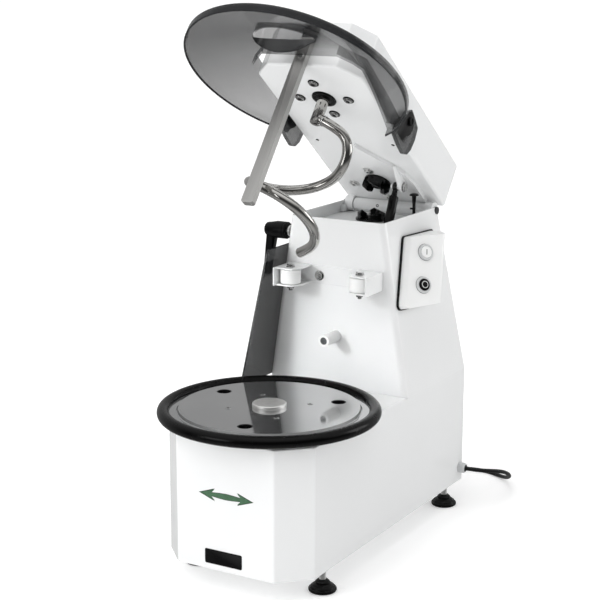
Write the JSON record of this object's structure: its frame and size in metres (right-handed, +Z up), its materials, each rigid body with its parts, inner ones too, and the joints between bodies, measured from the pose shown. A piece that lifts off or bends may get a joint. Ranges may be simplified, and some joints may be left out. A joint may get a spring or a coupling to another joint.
{
  "type": "dough mixer",
  "caption": "White lifting-head spiral dough mixer with tapered column, rubber-rimmed turntable, smoked lid, spiral hook, breaker bar and side push buttons.",
  "frame": {"origin": "on the floor, centre of the machine's bounding box seen from above, mains lead left out", "axes": "+X to the right facing the machine, +Y from its front to its back, +Z up"},
  "size_m": [0.4264, 0.8761, 0.993],
  "materials": {
    "white_paint": "gloss white enamel",
    "white_plastic": "white moulded plastic",
    "pale_grey_plastic": "pale grey plastic",
    "black_plastic": "black moulded plastic",
    "black_rubber": "black rubber",
    "smoked_plastic": "smoked clear plastic",
    "polished_steel": "polished stainless steel",
    "brushed_steel": "brushed stainless steel",
    "dark_steel": "dark machined steel",
    "zinc_steel": "zinc plated steel",
    "motor_paint": "grey painted casting",
    "black_enamel": "black enamel"
  },
  "bodies": {
    "frame": {"base_walls": "white_paint", "deck_plate": "white_paint", "floor_plate": "white_paint", "column_shell": "white_paint", "bearing_plate": "white_paint", "foot_pads": "black_rubber", "foot_studs": "zinc_steel", "cable_gland": "pale_grey_plastic", "control_box": "white_plastic", "control_gasket": "black_rubber", "button_bezels": "white_plastic", "roller_bracket": "white_paint", "roller_bolts": "zinc_steel", "stop_peg": "white_plastic", "side_guard": "smoked_plastic", "panel_screws": "zinc_steel", "lever_stud": "zinc_steel", "hinge_pin": "dark_steel", "gear_motor": "motor_paint", "motor_plate": "zinc_steel", "bowl_bearing": "motor_paint", "drive_chain": "dark_steel", "blank_plate": "black_enamel", "cord_lead": "black_rubber", "cord_coil": "black_rubber", "mains_plug": "black_plastic"},
    "drive": {"drive_shaft": "brushed_steel", "drive_sprocket": "dark_steel", "lower_coupling": "dark_steel"},
    "turntable": {"turntable_disc": "polished_steel", "turntable_ring": "black_rubber", "turntable_boss": "brushed_steel", "turntable_screws": "zinc_steel", "turntable_shaft": "brushed_steel", "bowl_sprocket": "dark_steel"},
    "roller_l": {"roller_left": "white_plastic"},
    "roller_r": {"roller_right": "white_plastic"},
    "start": {"start_button": "white_plastic"},
    "stop": {"stop_button": "black_plastic"},
    "lever": {"clamp_lever": "black_plastic"},
    "head": {"head_casing": "white_paint", "head_top_cover": "white_paint", "hinge_plate": "white_paint", "hinge_tube": "white_paint", "breaker_bar": "brushed_steel", "bar_block": "black_plastic", "head_screws": "zinc_steel", "spindle_bearing": "motor_paint", "head_chain": "dark_steel", "lid_screws": "black_plastic"},
    "spiral": {"spiral_hook": "polished_steel", "spindle_sprocket": "dark_steel"},
    "head_input": {"upper_coupling": "dark_steel"},
    "lid": {"lid_panel": "smoked_plastic", "filler_collar": "smoked_plastic", "lid_brackets": "smoked_plastic"},
    "gas_body": {"gas_spring_body": "black_enamel"},
    "gas_rod": {"gas_spring_rod": "brushed_steel"},
    "plunger": {"switch_plunger": "dark_steel"}
  },
  "joints": [
    {"name": "head_tilt", "type": "hinge", "parent": "frame", "child": "head", "pos_m": [0, 0.28514, 0.5905], "axis": [1, 0, 0], "range_deg": [0, 37.7]},
    {"name": "lid_open", "type": "hinge", "parent": "head", "child": "lid", "pos_m": [0, 0.12005, 0.77711], "axis": [-1, 0, 0], "range_deg": [0, 60]},
    {"name": "spiral_spin", "type": "hinge", "parent": "head", "child": "spiral", "pos_m": [0, 0.01886, 0.82035], "axis": [0, 0.6118, 0.791], "continuous": true},
    {"name": "head_input_spin", "type": "hinge", "parent": "head", "child": "head_input", "pos_m": [0, 0.23501, 0.65318], "axis": [0, 0.6118, 0.791], "continuous": true},
    {"name": "turntable_spin", "type": "hinge", "parent": "frame", "child": "turntable", "pos_m": [0, -0.16975, 0.302], "axis": [0, 0, 1], "continuous": true},
    {"name": "drive_spin", "type": "hinge", "parent": "frame", "child": "drive", "pos_m": [0, 0.20714, 0.5], "axis": [0, 0, 1], "continuous": true},
    {"name": "roller_left_spin", "type": "hinge", "parent": "frame", "child": "roller_l", "pos_m": [-0.072, 0.02515, 0.491], "axis": [0, 0, 1], "continuous": true},
    {"name": "roller_right_spin", "type": "hinge", "parent": "frame", "child": "roller_r", "pos_m": [0.072, 0.02515, 0.491], "axis": [0, 0, 1], "continuous": true},
    {"name": "start_press", "type": "slide", "parent": "frame", "child": "start", "axis": [-0.7956, 0.4977, -0.3454], "range_m": [0, 0.0035], "stiffness_N_per_m": 600, "springref_m": -0.003},
    {"name": "stop_press", "type": "slide", "parent": "frame", "child": "stop", "axis": [-0.7956, 0.4977, -0.3454], "range_m": [0, 0.0035], "stiffness_N_per_m": 600, "springref_m": -0.003},
    {"name": "lever_turn", "type": "hinge", "parent": "frame", "child": "lever", "pos_m": [-0.137, 0.08514, 0.563], "axis": [1, 0, 0], "range_deg": [-60, 60]},
    {"name": "gas_swing", "type": "hinge", "parent": "head", "child": "gas_body", "pos_m": [0.045, 0.21785, 0.6412], "axis": [1, 0, 0], "range_deg": [-40, 1]},
    {"name": "plunger_press", "type": "slide", "parent": "frame", "child": "plunger", "axis": [0, 0, -1], "range_m": [-0.001, 0.0295]},
    {"name": "gas_slide", "type": "slide", "parent": "gas_body", "child": "gas_rod", "axis": [0, 0.3965, 0.918], "range_m": [-0.001, 0.056]}
  ],
  "couplings": [
    {"joint": "head_input_spin", "follows": "spiral_spin", "ratio": 1.6667},
    {"joint": "drive_spin", "follows": "turntable_spin", "ratio": 3},
    {"joint": "gas_swing", "follows": "head_tilt", "ratio": -1.0371},
    {"joint": "gas_slide", "follows": "head_tilt", "m_per_rad": 0.08231},
    {"joint": "plunger_press", "follows": "head_tilt", "m_per_rad": 0.04331}
  ]
}
